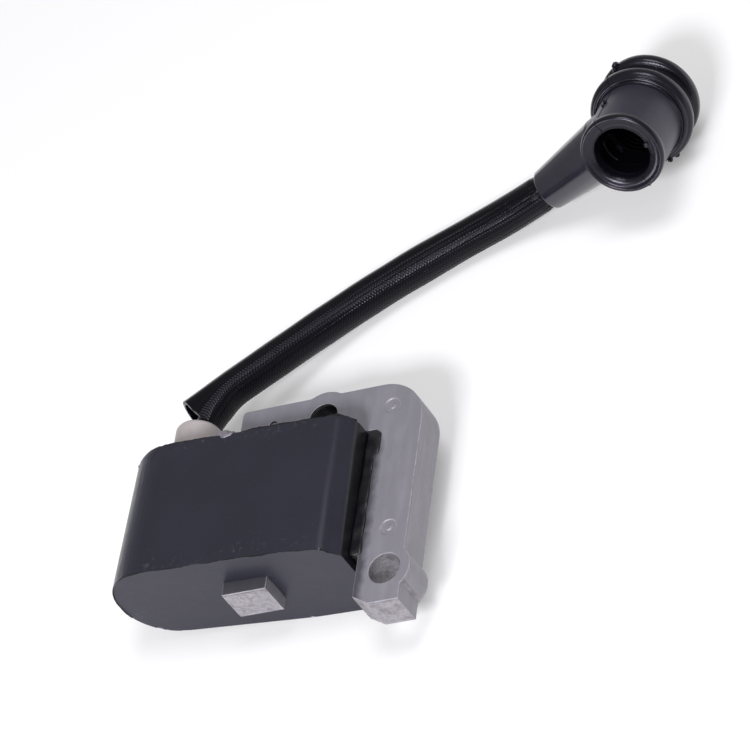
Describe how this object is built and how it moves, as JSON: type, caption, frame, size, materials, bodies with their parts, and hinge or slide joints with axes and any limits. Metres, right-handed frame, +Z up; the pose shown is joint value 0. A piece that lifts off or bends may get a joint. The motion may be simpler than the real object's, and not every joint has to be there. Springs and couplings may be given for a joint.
{
  "type": "ignition coil",
  "caption": "Potted ignition coil on an L-shaped laminated core, with a sleeved high-tension lead and a right-angled spark plug boot.",
  "frame": {"origin": "under the middle of the coil module (core and case, without the lead), on the plane that the back of the case rests on", "axes": "+X along the yoke from the case's round end to the leg, +Y from the pole faces towards the yoke, +Z up through the lamination stack"},
  "size_m": [0.1184, 0.1256, 0.027],
  "materials": {
    "core_steel": "stamped electrical steel, satin grey, light streaks",
    "case_plastic": "satin black moulded thermoset",
    "potting_epoxy": "black cast epoxy",
    "bobbin_plastic": "natural nylon",
    "copper_wire": "enamelled copper",
    "board_laminate": "glass laminate",
    "component_black": "moulded component body",
    "component_blue": "dipped capacitor",
    "tinned_metal": "tinned brass or copper",
    "pin_brass": "turned brass",
    "grommet_resin": "pinkish grey moulded resin",
    "lead_rubber": "black lead insulation",
    "braid_fibre": "black braided sleeving",
    "boot_rubber": "satin black moulded rubber",
    "spring_steel": "drawn spring wire"
  },
  "bodies": {
    "module": {"front_lamination": "core_steel", "lamination_stack": "core_steel", "rear_lamination": "core_steel", "coil_case": "case_plastic", "potting_fill": "potting_epoxy", "bonding_bead": "potting_epoxy", "primary_bobbin": "bobbin_plastic", "primary_winding": "copper_wire", "secondary_bobbin": "bobbin_plastic", "secondary_winding": "copper_wire", "control_board": "board_laminate", "power_transistor": "component_black", "control_chip": "component_black", "trigger_capacitor": "component_blue", "resistors": "component_blue", "surge_diode": "component_black", "ground_strap": "tinned_metal", "stop_terminal": "tinned_metal", "ht_output_pin": "pin_brass", "secondary_tap": "copper_wire", "lead_grommet": "grommet_resin", "ht_conductor": "copper_wire", "ht_lead": "lead_rubber", "braided_sleeve": "braid_fibre"},
    "boot": {"plug_boot": "boot_rubber", "contact_spring": "spring_steel", "terminal_spike": "spring_steel"}
  },
  "joints": [
    {"name": "boot_swivel", "type": "hinge", "parent": "module", "child": "boot", "pos_m": [0.0502, 0.0764, 0.0075], "axis": [0.9295, 0.1301, 0.3452], "range_deg": [-60, 60]}
  ]
}
